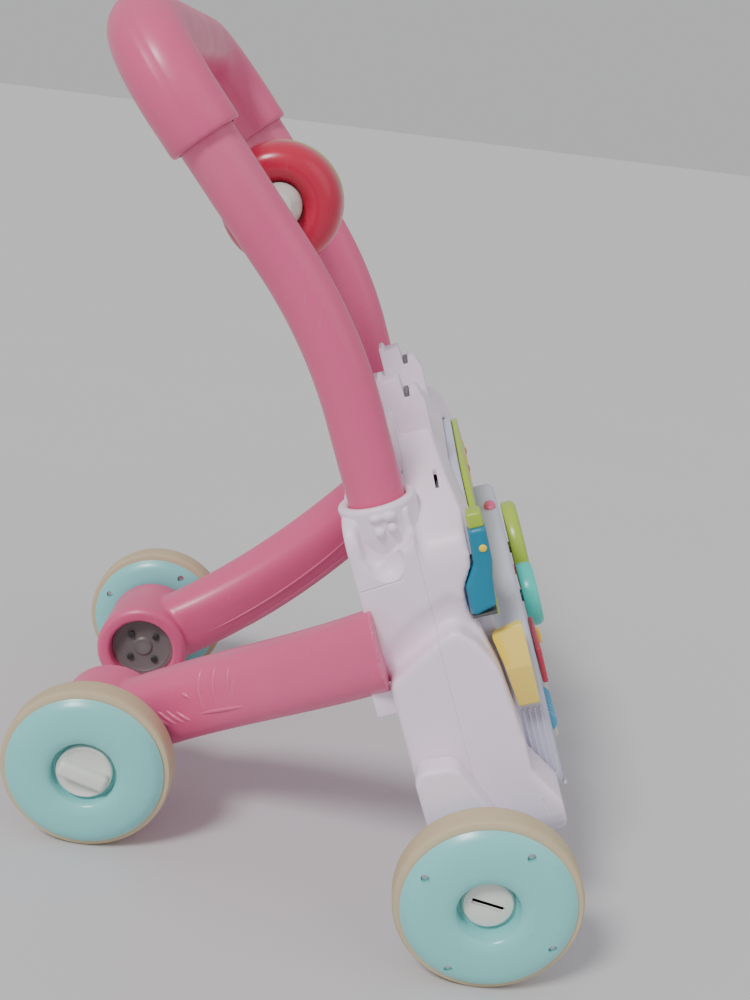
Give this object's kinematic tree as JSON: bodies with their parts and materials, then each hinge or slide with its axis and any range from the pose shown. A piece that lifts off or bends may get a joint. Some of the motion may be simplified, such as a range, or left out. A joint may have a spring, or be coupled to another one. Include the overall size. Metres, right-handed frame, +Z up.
{
  "type": "baby walker",
  "caption": "Push-along baby walker: leaning body on splayed rear legs and wheels, looped tube handle with a spinning roller, and a lift-off activity panel.",
  "frame": {"origin": "on the floor, midway between front and rear axles, on the plane of symmetry of the wheels", "axes": "+Z up, -Y to the front (the way the walker is pushed), +X to the left of a child who pushes it"},
  "size_m": [0.46, 0.343, 0.4966],
  "materials": {
    "pink_plastic": "semi-gloss moulded pink plastic",
    "white_plastic": "semi-gloss pale lavender-white plastic",
    "lavender_plastic": "satin pale lavender plastic",
    "mint_plastic": "semi-gloss mint green plastic",
    "beige_tyre": "matt soft beige tyre",
    "ivory_plastic": "satin off-white plastic",
    "steel": "plain drawn steel",
    "red_plastic": "glossy red plastic",
    "green_plastic": "glossy yellow-green plastic",
    "teal_plastic": "glossy teal plastic",
    "blue_plastic": "glossy blue plastic",
    "sky_plastic": "glossy light blue plastic",
    "yellow_plastic": "satin yellow plastic",
    "board": "green circuit board laminate",
    "dark_plastic": "dark satin plastic",
    "grey_plastic": "satin grey plastic"
  },
  "bodies": {
    "chassis": {"rear_shell": "white_plastic", "front_shell": "white_plastic", "wheel_strut_left": "white_plastic", "wheel_strut_right": "white_plastic", "handle_arm_left_outer": "pink_plastic", "handle_arm_left_inner": "pink_plastic", "handle_arm_right_outer": "pink_plastic", "handle_arm_right_inner": "pink_plastic", "handle_grip_front": "pink_plastic", "handle_grip_rear": "pink_plastic", "roller_rod": "ivory_plastic", "rear_leg_left": "pink_plastic", "rear_leg_right": "pink_plastic", "hub_cover_left": "grey_plastic", "hub_cover_right": "grey_plastic", "front_axle_left": "steel", "front_axle_right": "steel", "rear_axle_left": "steel", "rear_axle_right": "steel", "axle_cap_left": "ivory_plastic", "axle_cap_right": "ivory_plastic"},
    "panel": {"panel_housing": "lavender_plastic", "panel_back_cover": "white_plastic", "circuit_board": "board", "speaker": "dark_plastic", "battery_cell_1": "dark_plastic", "battery_cell_2": "dark_plastic", "top_trim": "green_plastic"},
    "roller": {"roller_core": "ivory_plastic", "roller_red": "red_plastic", "roller_green": "green_plastic"},
    "battery_door": {"battery_door": "white_plastic"},
    "handset": {"handset": "blue_plastic"},
    "panel_latch": {"panel_latch": "yellow_plastic"},
    "green_disc": {"green_disc": "green_plastic"},
    "teal_disc": {"teal_disc": "teal_plastic"},
    "peek_door": {"peek_door": "red_plastic"},
    "blue_roller": {"blue_roller": "sky_plastic"},
    "power_switch": {"power_switch": "red_plastic"},
    "front_wheel_left": {"front_wheel_left_outer_disc": "mint_plastic", "front_wheel_left_inner_disc": "mint_plastic", "front_wheel_left_tyre": "beige_tyre"},
    "front_wheel_right": {"front_wheel_right_outer_disc": "mint_plastic", "front_wheel_right_inner_disc": "mint_plastic", "front_wheel_right_tyre": "beige_tyre"},
    "rear_wheel_left": {"rear_wheel_left_outer_disc": "mint_plastic", "rear_wheel_left_inner_disc": "mint_plastic", "rear_wheel_left_tyre": "beige_tyre"},
    "rear_wheel_right": {"rear_wheel_right_outer_disc": "mint_plastic", "rear_wheel_right_inner_disc": "mint_plastic", "rear_wheel_right_tyre": "beige_tyre"},
    "lock_knob_left": {"lock_knob_left": "ivory_plastic"},
    "lock_knob_right": {"lock_knob_right": "ivory_plastic"},
    "piano_key_1": {"piano_key_1": "ivory_plastic"},
    "piano_key_2": {"piano_key_2": "ivory_plastic"},
    "piano_key_3": {"piano_key_3": "ivory_plastic"},
    "piano_key_4": {"piano_key_4": "ivory_plastic"},
    "piano_key_5": {"piano_key_5": "ivory_plastic"}
  },
  "joints": [
    {"name": "front_wheel_left_spin", "type": "hinge", "parent": "chassis", "child": "front_wheel_left", "pos_m": [0, -0.1195, 0.052], "axis": [1, 0, 0], "continuous": true},
    {"name": "front_wheel_right_spin", "type": "hinge", "parent": "chassis", "child": "front_wheel_right", "pos_m": [0, -0.1195, 0.052], "axis": [1, 0, 0], "continuous": true},
    {"name": "rear_wheel_left_spin", "type": "hinge", "parent": "chassis", "child": "rear_wheel_left", "pos_m": [0, 0.1195, 0.052], "axis": [1, 0, 0], "continuous": true},
    {"name": "rear_wheel_right_spin", "type": "hinge", "parent": "chassis", "child": "rear_wheel_right", "pos_m": [0, 0.1195, 0.052], "axis": [1, 0, 0], "continuous": true},
    {"name": "lock_knob_left_turn", "type": "hinge", "parent": "chassis", "child": "lock_knob_left", "pos_m": [0.13, 0.1195, 0.052], "axis": [1, 0, 0], "range_deg": [0, 90]},
    {"name": "lock_knob_right_turn", "type": "hinge", "parent": "chassis", "child": "lock_knob_right", "pos_m": [-0.13, 0.1195, 0.052], "axis": [1, 0, 0], "range_deg": [0, 90]},
    {"name": "roller_spin", "type": "hinge", "parent": "chassis", "child": "roller", "pos_m": [0, 0.04318, 0.38848], "axis": [1, 0, 0], "continuous": true},
    {"name": "panel_lift", "type": "slide", "parent": "chassis", "child": "panel", "axis": [0, -0.9336, 0.3584], "range_m": [0, 0.12]},
    {"name": "battery_door_lift", "type": "slide", "parent": "panel", "child": "battery_door", "axis": [0, 0.9336, -0.3584], "range_m": [0, 0.012]},
    {"name": "handset_lift", "type": "slide", "parent": "panel", "child": "handset", "axis": [-1, 0, 0], "range_m": [0, 0.06]},
    {"name": "panel_latch_slide", "type": "slide", "parent": "chassis", "child": "panel_latch", "axis": [0, -0.3584, -0.9336], "range_m": [0, 0.008]},
    {"name": "green_disc_spin", "type": "hinge", "parent": "panel", "child": "green_disc", "pos_m": [0.032, -0.13404, 0.17], "axis": [0, 0.9336, -0.3584], "continuous": true},
    {"name": "teal_disc_spin", "type": "hinge", "parent": "panel", "child": "teal_disc", "pos_m": [-0.034, -0.13781, 0.1602], "axis": [0, 0.9336, -0.3584], "continuous": true},
    {"name": "peek_door_hinge", "type": "hinge", "parent": "panel", "child": "peek_door", "pos_m": [-0.117, -0.14666, 0.14968], "axis": [0, -0.3584, -0.9336], "range_deg": [0, 110]},
    {"name": "blue_roller_spin", "type": "hinge", "parent": "panel", "child": "blue_roller", "pos_m": [-0.1075, -0.15149, 0.11618], "axis": [1, 0, 0], "continuous": true},
    {"name": "power_switch_slide", "type": "slide", "parent": "panel", "child": "power_switch", "axis": [1, 0, 0], "range_m": [0, 0.012]},
    {"name": "piano_key_1_press", "type": "hinge", "parent": "panel", "child": "piano_key_1", "pos_m": [-0.068, -0.15443, 0.1141], "axis": [1, 0, 0], "range_deg": [0, 4], "stiffness_Nm_per_rad": 0.3},
    {"name": "piano_key_2_press", "type": "hinge", "parent": "panel", "child": "piano_key_2", "pos_m": [-0.034, -0.15443, 0.1141], "axis": [1, 0, 0], "range_deg": [0, 4], "stiffness_Nm_per_rad": 0.3},
    {"name": "piano_key_3_press", "type": "hinge", "parent": "panel", "child": "piano_key_3", "pos_m": [0, -0.15443, 0.1141], "axis": [1, 0, 0], "range_deg": [0, 4], "stiffness_Nm_per_rad": 0.3},
    {"name": "piano_key_4_press", "type": "hinge", "parent": "panel", "child": "piano_key_4", "pos_m": [0.034, -0.15443, 0.1141], "axis": [1, 0, 0], "range_deg": [0, 4], "stiffness_Nm_per_rad": 0.3},
    {"name": "piano_key_5_press", "type": "hinge", "parent": "panel", "child": "piano_key_5", "pos_m": [0.068, -0.15443, 0.1141], "axis": [1, 0, 0], "range_deg": [0, 4], "stiffness_Nm_per_rad": 0.3}
  ]
}
